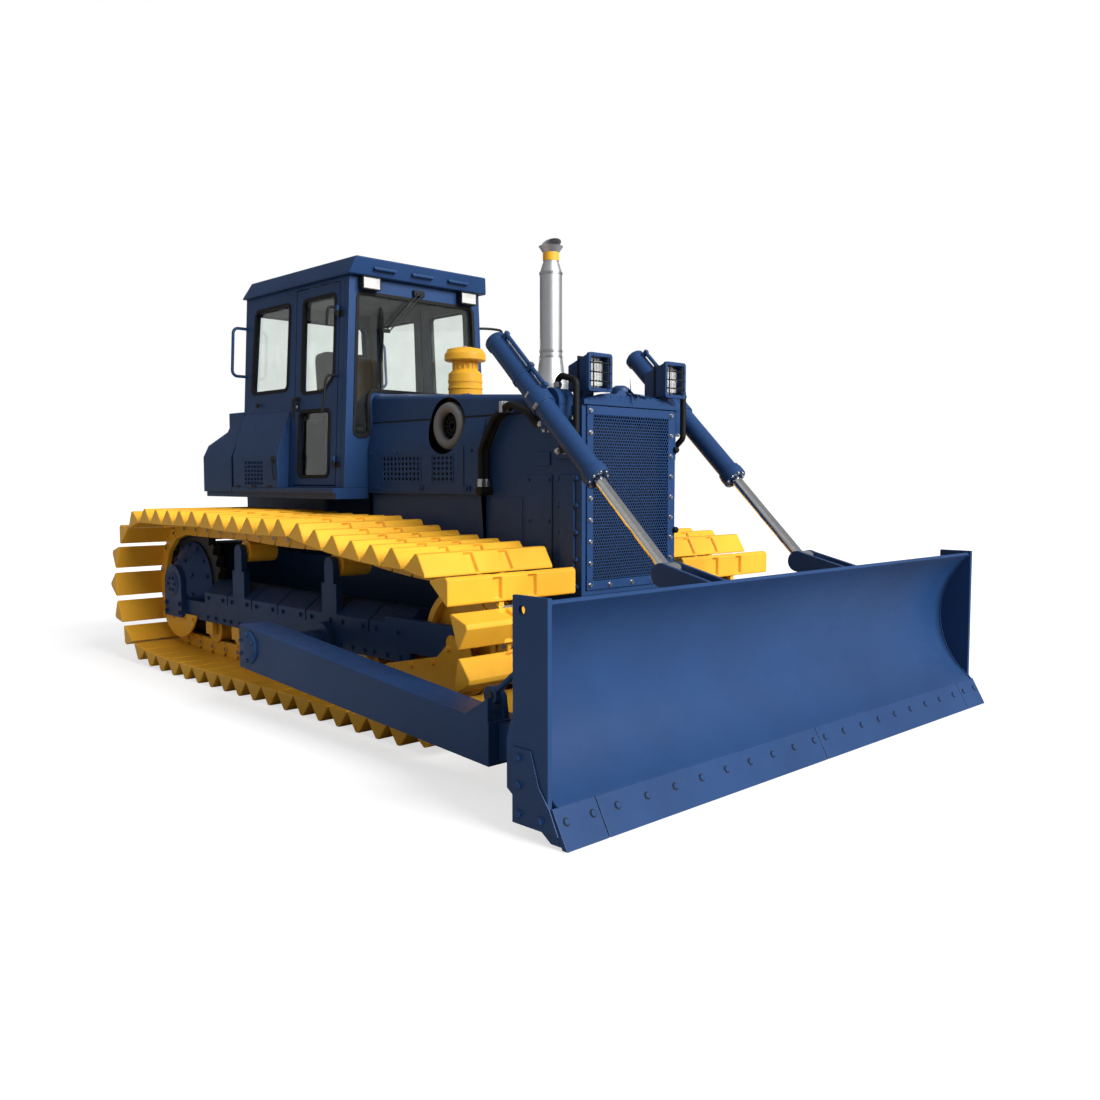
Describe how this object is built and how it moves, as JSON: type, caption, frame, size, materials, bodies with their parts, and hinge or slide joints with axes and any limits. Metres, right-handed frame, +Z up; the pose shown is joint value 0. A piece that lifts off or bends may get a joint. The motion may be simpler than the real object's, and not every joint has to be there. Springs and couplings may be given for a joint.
{
  "type": "bulldozer",
  "caption": "Low ground pressure crawler bulldozer with wide swamp shoes, straight blade on push arms, two lift cylinders and a closed cab with hinged doors.",
  "frame": {"origin": "on the ground under the middle of the machine's length and width", "axes": "+X forward to the blade, +Y to the machine's left, +Z up"},
  "size_m": [5.8188, 3.9, 3.05],
  "materials": {
    "blue_paint": "gloss",
    "dark_blue_paint": "satin",
    "yellow_paint": "satin",
    "dark_casting": "matte",
    "black_core": "matte",
    "aluminium": "brushed",
    "chrome_rod": "polished",
    "worn_steel": "worn",
    "glass": "clear",
    "lamp_glass": "clear",
    "seat_vinyl": "grained",
    "black_plastic": "matte"
  },
  "bodies": {
    "chassis": {"main_frame": "dark_blue_paint", "transmission_case": "dark_blue_paint", "drawbar": "blue_paint", "engine_block": "dark_casting", "track_frame_right": "blue_paint", "track_frame_left": "blue_paint", "track_right": "yellow_paint", "track_left": "yellow_paint", "sprockets": "dark_casting", "final_drive_covers": "blue_paint", "final_drive_cases": "dark_blue_paint", "idlers": "yellow_paint", "track_rollers": "yellow_paint", "carrier_rollers": "yellow_paint", "track_guards": "yellow_paint", "radiator_guard": "blue_paint", "radiator_core": "black_core", "radiator_grille": "blue_paint", "headlamp_housings": "blue_paint", "headlamp_lenses": "lamp_glass", "lift_yokes": "blue_paint", "hood": "blue_paint", "engine_side_panels": "blue_paint", "exhaust_stack": "aluminium", "air_precleaner": "yellow_paint", "platform": "blue_paint", "side_boxes": "blue_paint", "fuel_tank": "blue_paint", "cab_front_wall": "blue_paint", "cab_rear_wall": "blue_paint", "cab_side_right": "blue_paint", "cab_side_left": "blue_paint", "cab_roof": "blue_paint", "cab_glass": "glass", "door_hinges": "black_plastic", "operator_seat": "seat_vinyl", "control_console": "black_plastic", "roof_lamps": "black_plastic", "intake_elbow": "aluminium", "hydraulic_lines": "black_plastic", "grab_handles": "blue_paint"},
    "blade_frame": {"push_arms": "blue_paint", "blade_moldboard": "blue_paint", "blade_end_plates": "blue_paint", "cutting_edge": "worn_steel", "blade_braces": "blue_paint", "blade_pins": "worn_steel"},
    "door_right_body": {"door_right": "blue_paint", "door_right_glass": "glass"},
    "door_left_body": {"door_left": "blue_paint", "door_left_glass": "glass"},
    "barrel_right": {"lift_barrel_right": "blue_paint"},
    "barrel_left": {"lift_barrel_left": "blue_paint"},
    "rod_right": {"lift_rod_right": "chrome_rod"},
    "rod_left": {"lift_rod_left": "chrome_rod"}
  },
  "joints": [
    {"name": "blade_lift", "type": "hinge", "parent": "chassis", "child": "blade_frame", "pos_m": [-0.09066, 0, 0.44], "axis": [0, -1, 0], "range_deg": [-9, 16.5]},
    {"name": "lift_swing_right", "type": "hinge", "parent": "chassis", "child": "barrel_right", "pos_m": [1.37934, -0.634, 1.925], "axis": [0, -1, 0], "range_deg": [-10.31, 18.86]},
    {"name": "lift_stroke_right", "type": "slide", "parent": "barrel_right", "child": "rod_right", "axis": [0.7163, 0, -0.6978], "range_m": [-0.59136, 0.32301]},
    {"name": "lift_swing_left", "type": "hinge", "parent": "chassis", "child": "barrel_left", "pos_m": [1.37934, 0.634, 1.925], "axis": [0, -1, 0], "range_deg": [-10.31, 18.86]},
    {"name": "lift_stroke_left", "type": "slide", "parent": "barrel_left", "child": "rod_left", "axis": [0.7163, 0, -0.6978], "range_m": [-0.59136, 0.32301]},
    {"name": "door_right_swing", "type": "hinge", "parent": "chassis", "child": "door_right_body", "pos_m": [-0.73266, -0.68116, 1.56083], "axis": [0, 0.0462, 0.9989], "range_deg": [0, 95]},
    {"name": "door_left_swing", "type": "hinge", "parent": "chassis", "child": "door_left_body", "pos_m": [-0.73266, 0.68116, 1.56083], "axis": [0, 0.0462, -0.9989], "range_deg": [0, 95]}
  ],
  "couplings": [
    {"joint": "lift_swing_right", "follows": "blade_lift", "ratio": 1.14},
    {"joint": "lift_stroke_right", "follows": "blade_lift", "m_per_rad": -2.05},
    {"joint": "lift_swing_left", "follows": "blade_lift", "ratio": 1.14},
    {"joint": "lift_stroke_left", "follows": "blade_lift", "m_per_rad": -2.05}
  ]
}
